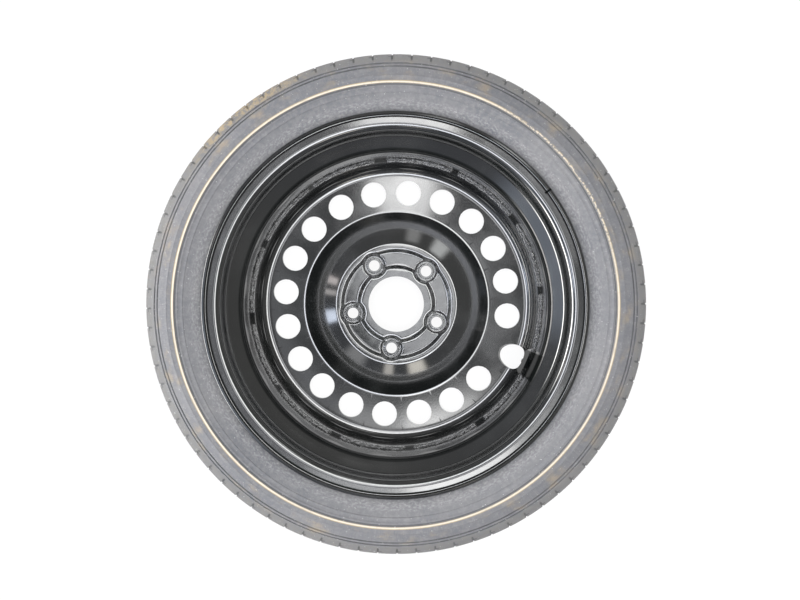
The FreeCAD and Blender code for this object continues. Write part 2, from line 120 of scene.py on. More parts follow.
def rounded_path(corners, arc_step=10.0, line_step=7.0):
    """Return points and left normals of straight runs joined by tangent arcs.

    Each corner is (r, z, radius). An arc starts radius * tan(half the turn) before its corner and
    turns the run's direction evenly about a centre that lies one radius to the turn's side.
    """
    spots = np.array([corner[:2] for corner in corners], float)
    along = np.diff(spots, axis=0)
    along /= np.linalg.norm(along, axis=1)[:, None]
    points = []
    normals = []
    cursor = spots[0]

    def run_to(end, direction):
        length = np.linalg.norm(end - cursor)
        count = max(1, int(round(length / line_step)))
        share = np.linspace(0.0, 1.0, count + 1)[:-1, None]
        points.append(cursor + (end - cursor) * share)
        normals.append(np.tile([-direction[1], direction[0]], (count, 1)))

    for at in range(1, len(spots) - 1):
        before, after = along[at - 1], along[at]
        radius = corners[at][2]
        turn = math.copysign(1.0, before[0] * after[1] - before[1] * after[0])
        angle = math.acos(np.clip(before @ after, -1.0, 1.0))
        start = spots[at] - before * radius * math.tan(angle / 2.0)
        run_to(start, before)
        count = max(2, int(math.ceil(math.degrees(angle) / arc_step)))
        sweep = turn * np.linspace(0.0, angle, count + 1)
        left = np.array([-before[1], before[0]])
        spin = np.stack([np.cos(sweep), -np.sin(sweep), np.sin(sweep), np.cos(sweep)], axis=1)
        turned = np.einsum("nij,j->ni", spin.reshape(-1, 2, 2), left)
        centre = start + left * radius * turn
        arc = centre - turned * radius * turn
        points.append(arc[:-1])
        normals.append(turned[:-1])
        cursor = arc[-1]
    run_to(spots[-1], along[-1])
    points.append(spots[-1:])
    normals.append(np.array([[-along[-1][1], along[-1][0]]]))
    return np.concatenate(points), np.concatenate(normals)


def on_circle(radius, z, angle):
    """Return points at the given radius, height and angle round the axle."""
    return np.stack([radius * np.cos(angle), radius * np.sin(angle), z + 0.0 * angle], axis=-1)


def turned_about_axle(points, angle):
    """Return the points turned by an angle about the axle."""
    cosine, sine = math.cos(angle), math.sin(angle)
    return points @ np.array([[cosine, sine, 0.0], [-sine, cosine, 0.0], [0.0, 0.0, 1.0]])


def grid_faces(rows, columns, wrap_rows=False, wrap_columns=False):
    """Return the quads of a grid of points, row by row, closed on itself where it wraps."""
    row = np.arange(rows if wrap_rows else rows - 1)[:, None]
    column = np.arange(columns if wrap_columns else columns - 1)[None, :]
    next_row = (row + 1) % rows
    next_column = (column + 1) % columns
    quads = [row * columns + column, next_row * columns + column,
             next_row * columns + next_column, row * columns + next_column]
    return np.stack([quad + 0 * (row + column) for quad in quads], axis=-1).reshape(-1, 4)


def patch(points, wrap_rows=False, wrap_columns=False):
    """Return a grid of points as a flat list with its quads."""
    rows, columns = points.shape[:2]
    return points.reshape(-1, 3), grid_faces(rows, columns, wrap_rows, wrap_columns)


def spun(section, angles, wrap=False):
    """Return the surface of a section of (r, z) points carried round the axle."""
    return patch(on_circle(section[None, :, 0], section[None, :, 1], angles[:, None]), wrap_rows=wrap)


def make_piece(name, patches, material, sharp_degrees, body=WHEEL, replaces=None):
    """Join patches into one closed mesh, with equal points merged and faces turned outwards."""
    starts = np.cumsum([0] + [len(points) for points, _ in patches[:-1]])
    points = np.concatenate([points for points, _ in patches]) * MM
    faces = np.concatenate([quads + start for (_, quads), start in zip(patches, starts)])
    mesh = bpy.data.meshes.new(name)
    mesh.vertices.add(len(points))
    mesh.vertices.foreach_set("co", points.astype(np.float32).ravel())
    mesh.loops.add(faces.size)
    mesh.loops.foreach_set("vertex_index", faces.astype(np.int32).ravel())
    mesh.polygons.add(len(faces))
    mesh.polygons.foreach_set("loop_start", np.arange(0, faces.size, 4, dtype=np.int32))
    mesh.update(calc_edges=True)
    work = bmesh.new()
    work.from_mesh(mesh)
    bmesh.ops.remove_doubles(work, verts=work.verts, dist=2e-6)
    bmesh.ops.dissolve_degenerate(work, edges=work.edges, dist=1e-7)
    bmesh.ops.recalc_face_normals(work, faces=work.faces)
    work.to_mesh(mesh)
    work.free()
    mesh.shade_smooth()
    mesh.set_sharp_from_angle(angle=math.radians(sharp_degrees))
    piece = bpy.data.objects.new(name, mesh)
    bpy.context.collection.objects.link(piece)
    piece.data.materials.append(material)
    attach(piece, body)
    if replaces:
        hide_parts(*replaces)
    return piece


class Sheet:
    """A pressed or rolled sheet: a path in (r, z) and its twin one wall away, carried round the axle."""

    def __init__(self, corners, wall, **steps):
        self.near, normals = rounded_path(corners, **steps)
        self.far = self.near + normals * wall
        self.count = len(self.near)

    def row_nearest(self, r, z):
        """Return the index of the path's point nearest to (r, z)."""
        return int(np.argmin(np.hypot(self.near[:, 0] - r, self.near[:, 1] - z)))

    @staticmethod
    def at(face, row, angle):
        """Return points of a face at fractional rows of its path."""
        rows = np.arange(len(face))
        return on_circle(np.interp(row, rows, face[:, 0]), np.interp(row, rows, face[:, 1]), angle)

    def bands(self, first, last, angles, wrap=False):
        """Return both faces of the sheet between two rows of its path."""
        return [spun(face[first:last + 1], angles, wrap) for face in (self.near, self.far)]

    def edge(self, row, angles, wrap=False):
        """Return the cut edge that joins the two faces at one row of the path."""
        return [spun(np.stack([self.near[row], self.far[row]]), angles, wrap)]

    def pierced(self, first, last, angles, hole, rings):
        """Return both faces of a sector with a round hole in it, and the hole's wall.

        The hole's axis leans by tilt. Each point of the sector's border looks at the hole's axis
        under some bearing; the point of the hole with that bearing is found on the sheet, and
        straight lines in (row, angle) between the two carry the rings of the surface.
        """
        side = np.arange(first, last + 1)
        row = np.concatenate([np.full(len(angles) - 1, first), side[:-1],
                              np.full(len(angles) - 1, last), side[::-1][:-1]]).astype(float)
        angle = np.concatenate([angles[:-1], np.full(len(side) - 1, angles[-1]),
                                angles[::-1][:-1], np.full(len(side) - 1, angles[0])])
        middle = hole.get("angle", 0.0)
        lean, upright = math.sin(math.radians(hole["tilt"])), math.cos(math.radians(hole["tilt"]))
        fine = np.linspace(first, last, 40 * (last - first) + 1)
        patches = []
        mouths = []
        border = self.at(self.near, row, angle - middle)
        bearing = np.arctan2(border[:, 1], (border[:, 0] - hole["pitch"]) * upright
                             + (border[:, 2] - hole["z"]) * lean)
        sideways = hole["radius"] * np.sin(bearing)
        across = hole["radius"] * np.cos(bearing)
        for face in (self.near, self.far):
            rows = np.arange(len(face))
            radius = np.interp(fine, rows, face[:, 0])[None, :]
            height = np.interp(fine, rows, face[:, 1])[None, :]
            forward = np.sqrt(radius ** 2 - sideways[:, None] ** 2)
            reach = (forward - hole["pitch"]) * upright + (height - hole["z"]) * lean
            upper = np.clip((reach < across[:, None]).sum(axis=1), 1, len(fine) - 1)[:, None]
            low = np.take_along_axis(reach, upper - 1, axis=1)[:, 0]
            high = np.take_along_axis(reach, upper, axis=1)[:, 0]
            share = (across - low) / (high - low)
            hole_row = fine[upper[:, 0] - 1] + share * (fine[1] - fine[0])
            hole_radius = np.interp(hole_row, rows, face[:, 0])
            hole_angle = middle + np.arcsin(sideways / hole_radius)
            ring = np.linspace(0.0, 1.0, rings + 1)[:, None]
            surface = self.at(face, hole_row + (row - hole_row) * ring,
                              hole_angle + (angle - hole_angle) * ring)
            patches.append(patch(surface, wrap_columns=True))
            mouths.append(surface[0])
        patches.append(patch(np.stack(mouths), wrap_columns=True))
        return patches


def repeated(patches, count, step):
    """Return patches repeated about the axle, count times at an even step."""
    return [(turned_about_axle(points, step * turn), faces)
            for turn in range(count) for points, faces in patches]


def smooth_lower(first, second, blend):
    """Return the lower of two heights, with the crease between them rounded over a blend."""
    share = np.clip(0.5 + 0.5 * (second - first) / blend, 0.0, 1.0)
    return second * (1.0 - share) + first * share - blend * share * (1.0 - share)


def disc_sheet():
    """Return the disc's sheet, its wall on the outboard side of the path."""
    inner, outer, depth = CHANNEL
    return Sheet([
        (BORE_RADIUS, HUB_Z, 0.0),
        (inner, HUB_Z, 5.5),
        (inner + depth, HUB_Z - depth, 3.0),
        (outer - depth, HUB_Z - depth, 3.0),
        (outer, HUB_Z, 5.5),
        (HUB_RADIUS, HUB_Z, DISC_WALL + 4.0),
        (VALLEY_RADIUS, VALLEY_Z, 9.0),
        (FLANGE_INNER_RADIUS, VALLEY_Z, 11.0),
        (FLANGE_INNER_RADIUS, DISC_EDGE_Z, 0.0),
    ], -DISC_WALL, arc_step=7.5)


def hub_patches(sheet, last, angles, rings):
    """Return one bolt's sector of the hub on both faces, with the hole's wall.

    Straight lines run from the bolt hole's rim to the sector's border. A point's height is the sheet's
    own height at its radius, lowered where the dished lobe round the bolt lies deeper.
    """
    def border_of(radius, theta):
        return np.stack([radius * np.cos(theta), radius * np.sin(theta)], axis=-1)

    outer_radius = sheet.near[last, 0]
    side = np.linspace(BORE_RADIUS, outer_radius, 25)
    border = np.concatenate([
        border_of(BORE_RADIUS, angles[:-1]), border_of(side[:-1], angles[-1]),
        border_of(outer_radius, angles[::-1][:-1]), border_of(side[::-1][:-1], angles[0])])
    bolt = np.array([BOLT_PITCH_RADIUS, 0.0])
    bearing = np.arctan2(border[:, 1], border[:, 0] - BOLT_PITCH_RADIUS)
    rim = bolt + BOLT_HOLE_RADIUS * np.stack([np.cos(bearing), np.sin(bearing)], axis=-1)
    ring = (np.linspace(0.0, 1.0, rings + 1) ** 1.25)[:, None, None]
    plan = rim + (border - rim) * ring
    radius = np.hypot(plan[..., 0], plan[..., 1])
    distance = np.hypot(plan[..., 0] - BOLT_PITCH_RADIUS, plan[..., 1])
    floor = HUB_Z - LOBE_DEPTH

    def lobe(foot):
        rise = np.clip((distance - foot) / LOBE_TAPER, 0.0, None)
        foot_curve = rise ** 2 * (3.0 - 2.0 * rise)
        return LOBE_DEPTH * np.where(rise < 1.0, foot_curve, 1.0 + 3.0 * (rise - 1.0) ** 2)

    near_base = np.interp(radius, sheet.near[:last + 1, 0], sheet.near[:last + 1, 1])
    near = smooth_lower(near_base, floor + lobe(LOBE_RADIUS - LOBE_TAPER), 1.2)
    near = near + np.clip((COLLAR_RADIUS + 0.5 - distance) / 0.5, 0.0, 1.0)
    far_base = np.interp(radius, sheet.far[:last + 1, 0], sheet.far[:last + 1, 1])
    far = smooth_lower(far_base, floor - DISC_WALL + lobe(LOBE_RADIUS - LOBE_TAPER + 1.4), 1.2)
    seat_rise = 0.75 * DISC_WALL / (NUT_SEAT_RADIUS - BOLT_HOLE_RADIUS)
    far = far + np.clip(NUT_SEAT_RADIUS - distance, 0.0, None) * seat_rise
    near[-1] = near_base[-1]
    far[-1] = far_base[-1]
    faces = [np.concatenate([plan, height[..., None]], axis=-1) for height in (near, far)]
    wall = np.stack([face[0] for face in faces])
    return [patch(face, wrap_columns=True) for face in faces] + [patch(wall, wrap_columns=True)]


def make_disc(material):
    """The pressed disc: hub with dished bolt seats, cone, vented crown and flange."""
    sheet = disc_sheet()
    hub_row = sheet.row_nearest(HUB_RADIUS - 1.3, HUB_Z)
    vent_first = sheet.row_nearest(VALLEY_RADIUS + 1.6, VALLEY_Z)
    vent_last = sheet.row_nearest(FLANGE_INNER_RADIUS - 11.0, VALLEY_Z)
    wall_row = sheet.row_nearest(FLANGE_INNER_RADIUS, -34.0)
    edge_row = sheet.count - 1
    per_vent = 16
    sector = 2.0 * math.pi / VENT_COUNT
    around = np.arange(VENT_COUNT * per_vent) * sector / per_vent - sector / 2.0
    one_vent = np.linspace(-sector / 2.0, sector / 2.0, per_vent + 1)
    other_vents = np.linspace(sector / 2.0, 2.0 * math.pi - sector / 2.0, (VENT_COUNT - 1) * per_vent + 1)
    bolt_sector = 2.0 * math.pi / BOLT_COUNT
    per_bolt = VENT_COUNT * per_vent // BOLT_COUNT
    one_bolt = np.linspace(-bolt_sector / 2.0, bolt_sector / 2.0, per_bolt + 1)
    vent = {"radius": VENT_RADIUS, "pitch": VENT_PITCH_RADIUS, "z": VALLEY_Z, "tilt": 0.0}
    patches = repeated(hub_patches(sheet, hub_row, one_bolt, 22), BOLT_COUNT, bolt_sector)
    patches += sheet.bands(hub_row, vent_first, around, wrap=True)
    vents = repeated(sheet.pierced(vent_first, vent_last, one_vent, vent, 8), VENT_COUNT, sector)
    patches += vents[3:]
    patches += sheet.pierced(vent_first, wall_row, one_vent, VALVE_VENT, 20)
    patches += sheet.bands(vent_last, wall_row, other_vents)
    patches += sheet.bands(wall_row, edge_row, around, wrap=True)
    patches += sheet.edge(0, around, wrap=True) + sheet.edge(edge_row, around, wrap=True)
    make_piece("pressed_disc", patches, material, 40.0, replaces=["wheel_disc"])


def rim_sheet():
    """Return the rim's sheet, its wall on the axle's side of the path."""
    lip = LIP_RADIUS - 4.0
    return Sheet([
        (lip, LIP_HALF_WIDTH, 0.0),
        (LIP_RADIUS, LIP_HALF_WIDTH - 1.2, 2.6),
        (LIP_RADIUS, FLANGE_HALF_WIDTH, 4.2),
        (BEAD_SEAT_RADIUS, FLANGE_HALF_WIDTH, 6.0),
        (BEAD_SEAT_END, -OUTBOARD_SEAT_Z, 9.0),
        (WELL_RADIUS, WELL_INBOARD_Z, 9.0),
        (WELL_RADIUS, WELL_OUTBOARD_Z, 2.5),
        (BEAD_SEAT_END, OUTBOARD_SEAT_Z, 5.0),
        (BEAD_SEAT_RADIUS, -FLANGE_HALF_WIDTH, 6.0),
        (LIP_RADIUS, -FLANGE_HALF_WIDTH, 4.2),
        (LIP_RADIUS, 1.2 - LIP_HALF_WIDTH, 2.6),
        (lip, -LIP_HALF_WIDTH, 0.0),
    ], -RIM_WALL, arc_step=9.0)


def make_rim(material):
    """The rolled rim from lip to lip, pierced for the valve in the outboard wall of its well."""
    sheet = rim_sheet()
    valve = {"radius": VALVE_HOLE_RADIUS, "tilt": -VALVE_TILT, "pitch": VALVE_SEAT[0], "z": VALVE_SEAT[2]}
    first = sheet.row_nearest(WELL_RADIUS, WELL_OUTBOARD_Z + 5.0)
    last = sheet.row_nearest(BEAD_SEAT_END + 0.6, OUTBOARD_SEAT_Z - 6.0)
    steps = 360
    half = 4.0
    around = np.arange(steps) * 2.0 * math.pi / steps - math.radians(half)
    sector = np.radians(np.arange(-half, half + 0.5))
    others = np.radians(np.arange(half, 360.5 - half))
    patches = sheet.bands(0, first, around, wrap=True) + sheet.bands(last, sheet.count - 1, around, wrap=True)
    patches += sheet.bands(first, last, others) + sheet.pierced(first, last, sector, valve, 5)
    patches += sheet.edge(0, around, wrap=True) + sheet.edge(sheet.count - 1, around, wrap=True)
    make_piece("rolled_rim", patches, material, 40.0, replaces=["rim"])


def resampled(points, normals, spacing, marks):
    """Return points and normals along a path, evenly spaced, with extra places at the marks' lengths."""
    length = np.concatenate([[0.0], np.cumsum(np.linalg.norm(np.diff(points, axis=0), axis=1))])
    even = np.linspace(0.0, length[-1], int(length[-1] / spacing) + 1)
    clear = np.abs(even[:, None] - np.asarray(marks)[None, :]).min(axis=1) > spacing * 0.3
    clear[[0, -1]] = True
    places = np.sort(np.concatenate([even[clear], marks]))
    points = np.stack([np.interp(places, length, points[:, axis]) for axis in (0, 1)], axis=1)
    normals = np.stack([np.interp(places, length, normals[:, axis]) for axis in (0, 1)], axis=1)
    return points, normals / np.linalg.norm(normals, axis=1)[:, None], places


def swell(places, middle, width, slope=0.5):
    """Return 1 over a width about the middle, falling to 0 over a slope on both sides."""
    return np.clip((width / 2.0 + slope - np.abs(places - middle)) / slope, 0.0, 1.0)


def edges_of(middle, width, slope=0.5):
    """Return the four places that a swell of this width needs."""
    half = width / 2.0
    return [middle - half - slope, middle - half, middle + half, middle + half + slope]


def tyre_half_outline():
    """Return the outer half of the tyre's section, from mid-tread to the toe, with its raised marks.

    Ribs, mould lines and grooves move the outline along its normal by a swell of the path's length.
    """
    corners = [
        (TYRE_RADIUS, 0.0, 0.0),
        (TYRE_RADIUS - 0.5, 30.0, 60.0),
        TREAD_EDGE + (5.0,),
        SHOULDER + (20.0,),
        (SIDEWALL_RADIUS + 6.0, SIDEWALL_HALF_WIDTH - 0.6, 16.0),
        (SIDEWALL_RADIUS - 6.0, SIDEWALL_HALF_WIDTH, 24.0),
        (LIP_RADIUS + 5.0, LIP_HALF_WIDTH - 4.5, 7.0),
        (LIP_RADIUS - 2.1, FLANGE_HALF_WIDTH - 0.3, 4.8),
        (BEAD_SEAT_RADIUS + 0.3, FLANGE_HALF_WIDTH - 0.3, 5.7),
        (BEAD_SEAT_RADIUS - 1.2, FLANGE_HALF_WIDTH - 17.3, 0.0),
    ]
    points, normals = rounded_path(corners, arc_step=12.0, line_step=3.0)
    length = np.concatenate([[0.0], np.cumsum(np.linalg.norm(np.diff(points, axis=0), axis=1))])
    bead = np.argmax(points[:, 0] < LIP_RADIUS + 2.0)

    def at_radius(radius):
        return float(np.interp(-radius, -points[:bead, 0] + 1e-9 * np.arange(bead), length[:bead]))

    marks = []
    lifts = [(at_radius(SIDEWALL_RADIUS), RIB["width"], RIB["height"])]
    lifts += [(place, TREAD_GROOVE["width"], -TREAD_GROOVE["depth"]) for place in TREAD_GROOVE["places"]]
    lifts += [(at_radius(radius), SHOULDER_GROOVES["width"], -SHOULDER_GROOVES["depth"])
              for radius in SHOULDER_GROOVES["radii"]]
    lifts += [(at_radius(radius), MOULD_LINES["width"], MOULD_LINES["height"])
              for radius in MOULD_LINES["radii"]]
    for middle, width, _ in lifts:
        marks += [place for place in edges_of(middle, width) if place > 0.01]
    slot_end, slot_start = at_radius(SHOULDER_SLOT["inner_radius"]), SHOULDER_SLOT["tread_z"]
    ramp = SHOULDER_SLOT["ramp"]
    marks += [slot_end, slot_end + ramp, slot_start, slot_start - ramp]
    points, normals, places = resampled(points, normals, OUTLINE_SPACING, marks)
    for middle, width, lift in lifts:
        points = points - normals * (lift * swell(places, middle, width))[:, None]
    notch = np.clip((slot_end + ramp - places) / ramp, 0.0, 1.0)
    notch = notch * np.clip((places - slot_start + ramp) / ramp, 0.0, 1.0)
    return points, normals, notch


def make_tyre(material):
    """The tyre: its section carried round the axle, with slots cut across both shoulders of the tread."""
    outer, normals, notch = tyre_half_outline()
    liner, _ = rounded_path([
        tuple(outer[-1]) + (0.0,), (LIP_RADIUS, 45.0, 14.0), (SIDEWALL_RADIUS, 55.0, 22.0),
        (TYRE_RADIUS - 12.5, 41.5, 14.0), (TYRE_RADIUS - 10.5, 30.0, 20.0), (TYRE_RADIUS - 10.5, 0.0, 0.0),
    ], arc_step=20.0, line_step=14.0)
    half = np.concatenate([outer, liner[1:]])
    pad = len(liner) - 1
    lean = np.concatenate([normals, np.zeros((pad, 2))])
    depth = np.concatenate([notch * SHOULDER_SLOT["depth"], np.zeros(pad)])
    mirror = np.array([1.0, -1.0])
    section = np.concatenate([half, half[::-1][1:-1] * mirror])
    lean = np.concatenate([lean, lean[::-1][1:-1] * mirror])
    depth = np.concatenate([depth, depth[::-1][1:-1]])
    share = SHOULDER_SLOT["width"] / (2.0 * math.pi * TYRE_RADIUS / SHOULDER_SLOT["count"]) / 2.0
    steps = np.array([0.0, 0.25, 0.497 - share, 0.5 - share, 0.5 + share, 0.503 + share, 0.75])
    cut = np.array([0.0, 0.0, 0.0, 1.0, 1.0, 0.0, 0.0])
    pitch = 2.0 * math.pi / SHOULDER_SLOT["count"]
    angles = ((np.arange(SHOULDER_SLOT["count"])[:, None] + steps[None, :]) * pitch).ravel()
    cuts = np.tile(cut, SHOULDER_SLOT["count"])
    surface = section[None] + lean[None] * (cuts[:, None] * depth[None])[..., None]
    points = on_circle(surface[..., 0], surface[..., 1], angles[:, None])
    make_piece("moulded_tyre", [patch(points, True, True)], material, 32.0, replaces=["tyre"])


WELD_RUNS = {"count": 12, "gap": 3.0, "foot_z": DISC_EDGE_Z}


def capped(points):
    """Return rows of points with the first and last row closed to their middles."""
    middle = points.mean(axis=1, keepdims=True)
    ends = np.repeat(middle[[0, -1]], points.shape[1], axis=1)
    return np.concatenate([ends[:1], points, ends[1:]])


def make_weld(material):
    """The runs of weld: a round-backed fillet carried along the corner, with ripples and tapered ends."""
    steps = 96
    well = WELL_RADIUS - RIM_WALL - 0.1
    section = np.array([(-3.4, 0.1), (-3.5, 1.0), (-3.0, 2.8), (-2.2, 4.8), (-1.3, 6.8), (-0.5, 8.4),
                        (0.0, 9.0), (0.0, 6.0), (0.0, 3.0), (0.0, 0.1)])
    span = 2.0 * math.pi / WELD_RUNS["count"]
    along = np.linspace(0.0, 1.0, steps)
    patches = []
    seeds = np.random.default_rng(7)
    for run in range(WELD_RUNS["count"]):
        start = run * span + math.radians(seeds.uniform(0.2, 0.8) * WELD_RUNS["gap"])
        angle = start + along * (span - math.radians(WELD_RUNS["gap"]))
        phase = seeds.uniform(0.0, 2.0 * math.pi, 3)
        ripple = 1.0 + 0.10 * np.sin(along * 140.0 + phase[0]) + 0.10 * np.sin(along * 31.0 + phase[1])
        ripple += 0.06 * np.sin(along * 83.0 + phase[2])
        ends = np.sqrt(np.clip(1.0 - np.abs(2.0 * along - 1.0) ** 26, 0.0, 1.0)) * 0.97 + 0.03
        size = (np.clip(ripple, 0.7, 1.25) * ends)[:, None]
        radius = well + np.minimum(section[None, :, 0] * size, 0.0)
        height = WELD_RUNS["foot_z"] + 0.1 + (section[None, :, 1] - 0.1) * np.clip(size, 0.0, 1.1)
        points = on_circle(radius, height, angle[:, None])
        patches.append(patch(capped(points), wrap_columns=True))
    make_piece("weld_bead", patches, material, 60.0, replaces=["disc_weld"])


def on_valve(points):
    """Return points of a piece turned about Z, stood on the valve's own axis."""
    lean = math.radians(180.0 + VALVE_TILT)
    cosine, sine = math.cos(lean), math.sin(lean)
    turn = np.array([[cosine, 0.0, -sine], [0.0, 1.0, 0.0], [sine, 0.0, cosine]])
    return points @ turn + np.array(VALVE_SEAT)


def turned_on_valve(name, corners, material, sharp, node, body=WHEEL, flutes=None, steps=72):
    """Make a valve piece: a closed outline of (r, z) turned about the valve's axis, fluted where asked."""
    outline, _ = rounded_path(corners + corners[:1], arc_step=15.0, line_step=1.2)
    angles = np.arange(steps) * 2.0 * math.pi / steps
    radius = np.broadcast_to(outline[None, :-1, 0], (steps, len(outline) - 1)).copy()
    if flutes:
        wave = 0.5 - 0.5 * np.cos(angles * flutes["count"])
        outside = radius > flutes["from_radius"]
        radius = radius - outside * (wave ** 3)[:, None] * flutes["depth"]
    points = on_circle(radius, outline[None, :-1, 1], angles[:, None])
    surface = patch(on_valve(points.reshape(-1, 3)).reshape(points.shape), True, True)
    make_piece(name, [surface], material, sharp, body=body, replaces=[node])


THREAD = {"pitch": 0.794, "turns": 9, "foot": 19.1, "crest": 3.85, "root": 3.5}


def make_valve(rubber, brass, plastic):
    """The valve's visible pieces: rubber stem, brass insert with its thread, and fluted cap."""
    turned_on_valve("valve_body", [
        (1.95, -4.0, 0.0), (5.4, -4.0, 0.6), (6.9, -2.5, 0.9), (6.9, -0.05, 0.0), (5.65, -0.05, 0.0),
        (5.65, 2.45, 0.0), (7.0, 4.6, 0.6), (7.0, 6.6, 0.8), (4.9, 12.5, 4.0), (4.9, 19.0, 0.6),
        (2.95, 19.0, 0.0), (2.95, 2.35, 0.0), (1.95, 2.35, 0.0),
    ], rubber, 30.0, "valve_stem")
    thread = []
    for turn in range(THREAD["turns"]):
        foot = THREAD["foot"] + turn * THREAD["pitch"]
        thread += [(THREAD["crest"], foot + 0.3 * THREAD["pitch"], 0.0),
                   (THREAD["root"], foot + 0.8 * THREAD["pitch"], 0.0)]
    turned_on_valve("valve_insert_thread", [
        (1.95, 2.4, 0.0), (2.9, 2.4, 0.0), (2.9, 19.05, 0.0), (3.6, 19.05, 0.0), *thread,
        (3.25, 27.0, 0.0), (2.6, 27.0, 0.0), (2.6, 20.0, 0.0), (1.95, 19.0, 0.0),
    ], brass, 30.0, "valve_insert")
    lid = 27.0 + 0.05 + 1.0 + 0.05
    turned_on_valve("valve_cap_fluted", [
        (3.95, lid - 8.3, 0.0), (4.8, lid - 8.3, 0.0), (4.8, lid + 1.2, 0.9), (0.0, lid + 1.2, 0.0),
        (0.0, lid, 0.0), (3.95, lid, 0.0),
    ], plastic, 30.0, "valve_cap", body="cap",
        flutes={"count": 24, "from_radius": 4.4, "depth": 0.35}, steps=240)


SPRING = {"radius": 0.875, "wire": 0.11, "turns": 5, "foot": 9.1, "top": 14.9, "pressed": 0.73}


def make_spring(material):
    """The valve core's spring: a round wire carried up a helix about the valve's axis.
    """
    steps, sides = 241, 10
    along = np.linspace(0.0, 1.0, steps)[:, None]
    turn = along * 2.0 * math.pi * SPRING["turns"]
    round_wire = np.arange(sides)[None, :] * 2.0 * math.pi / sides
    radius = SPRING["radius"] + SPRING["wire"] * np.cos(round_wire)
    low, high = SPRING["foot"] + SPRING["wire"], SPRING["top"] - SPRING["wire"]
    height = low + (high - low) * along + SPRING["wire"] * np.sin(round_wire)
    points = capped(on_circle(radius, height, turn))
    surface = patch(on_valve(points.reshape(-1, 3)).reshape(points.shape), wrap_columns=True)
    coil = make_piece("core_coil", [surface], material, 60.0, replaces=["core_spring"])
    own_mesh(coil)


class Graph:
    """The nodes of a material or of the room, with short ways to make the few kinds in use."""

    def __init__(self, owner):
        owner.use_nodes = True
        self.nodes = owner.node_tree.nodes
        self.new = owner.node_tree.nodes.new
        self.link = owner.node_tree.links.new

    def calc(self, operation, first, second=0.0, third=None, clamp=False):
        """Return the output of a math node on sockets or numbers."""
        made = self.new("ShaderNodeMath")
        made.operation = operation
        made.use_clamp = clamp
        for socket, value in zip(made.inputs, (first, second, third)):
            if value is None:
                continue
            if isinstance(value, (int, float)):
                socket.default_value = value
            else:
                self.link(value, socket)
        return made.outputs[0]

    def times(self, first, second):
        """Return the product of two sockets or numbers."""
        return self.calc("MULTIPLY", first, second)

    def noise(self, vector, scale, detail=4.0, roughness=0.55):
        """Return the value of a noise on a vector."""
        made = self.new("ShaderNodeTexNoise")
        made.inputs["Scale"].default_value = scale
        made.inputs["Detail"].default_value = detail
        made.inputs["Roughness"].default_value = roughness
        self.link(vector, made.inputs["Vector"])
        return made.outputs["Fac"]

    def ramp(self, value, low, high, to_low=0.0, to_high=1.0):
        """Return a value mapped from one range to another, smoothly and kept inside it."""
        made = self.new("ShaderNodeMapRange")
        made.interpolation_type = "SMOOTHSTEP"
        for name, number in (("From Min", low), ("From Max", high), ("To Min", to_low), ("To Max", to_high)):
            made.inputs[name].default_value = number
        self.link(value, made.inputs["Value"])
        return made.outputs["Result"]

    def band(self, value, middle, half_width, soft):
        """Return 1 within half a width of the middle, falling smoothly to 0 over the soft length."""
        away = self.calc("ABSOLUTE", self.calc("SUBTRACT", value, middle))
        return self.ramp(away, half_width, half_width + soft, 1.0, 0.0)

    def mix(self, factor, first, second):
        """Return a mix of two colours."""
        made = self.new("ShaderNodeMix")
        made.data_type = "RGBA"
        self.link(factor, made.inputs["Factor"])
        for socket, value in ((made.inputs["A"], first), (made.inputs["B"], second)):
            if isinstance(value, tuple):
                socket.default_value = value + (1.0,)
            else:
                self.link(value, socket)
        return made.outputs["Result"]

    def bump(self, height, strength, distance):
        """Return the normal of a bump on a height."""
        made = self.new("ShaderNodeBump")
        made.inputs["Strength"].default_value = strength
        made.inputs["Distance"].default_value = distance
        self.link(height, made.inputs["Height"])
        return made.outputs["Normal"]

    def axle_coordinates(self):
        """Return the position, the radius from the axle in millimetres, the angle and the height."""
        place = self.new("ShaderNodeTexCoord").outputs["Object"]
        parts = self.new("ShaderNodeSeparateXYZ")
        self.link(place, parts.inputs[0])
        x, y, height = parts.outputs
        square = self.calc("MULTIPLY_ADD", y, y, self.times(x, x))
        radius = self.times(self.calc("SQRT", square), 1.0 / MM)
        return place, radius, self.calc("ARCTAN2", y, x), height


def new_material(name):
    """Return a material with its graph and main shader."""
    material = bpy.data.materials.new(name)
    graph = Graph(material)
    return material, graph, graph.nodes["Principled BSDF"]


# Angles round the axle of the worn stretch of the rib, the brown dirt and the seam of the rim
RIB_BREAK_ANGLE = math.radians(62.0)
DIRT_ANGLE = math.radians(152.0)
SEAM_ANGLE = math.radians(61.1)

# Middle radius, half width and soft edge of rings on the sidewall, in millimetres
RIBBED_RING = (261.0, 6.5, 3.0)
SCUFFED_RING = (226.5, 2.5, 7.0)
DIRTY_RING = (266.0, 6.0, 10.0)
# Ring of the painted shade in a hook beside each shoulder slot
HOOK_SHADE_RING = (284.2, 0.5, 0.5)
RIB_EDGE_RING = (SIDEWALL_RADIUS, 1.2, 0.6)
RIB_CORE_RING = (SIDEWALL_RADIUS - 0.2, 0.55, 0.7)
# Ring of the painted shade along the rib's inner foot
RIB_FOOT_SHADE_RING = (SIDEWALL_RADIUS - 2.9, 0.3, 0.7)

RUBBER = {
    "dark": (0.124, 0.127, 0.138), "pale": (0.170, 0.169, 0.174), "dust": (0.28, 0.276, 0.270),
    "pores": (0.09, 0.09, 0.095), "ribbing": (0.12, 0.124, 0.145), "scuff": (0.34, 0.335, 0.33),
    # The notch colour is painted shade, for the shoulder slots, the hooks beside them and the rib's foot
    "shoulder": (0.160, 0.154, 0.140), "dirt": (0.34, 0.265, 0.16), "notch": (0.04, 0.04, 0.04),
    # The groove colour is painted shade in the shoulder grooves
    "shaded_groove": (0.035, 0.035, 0.036), "rib_edge": (0.36, 0.28, 0.16), "rib_core": (0.61, 0.55, 0.455),
    "specks": (0.50, 0.49, 0.47),
}


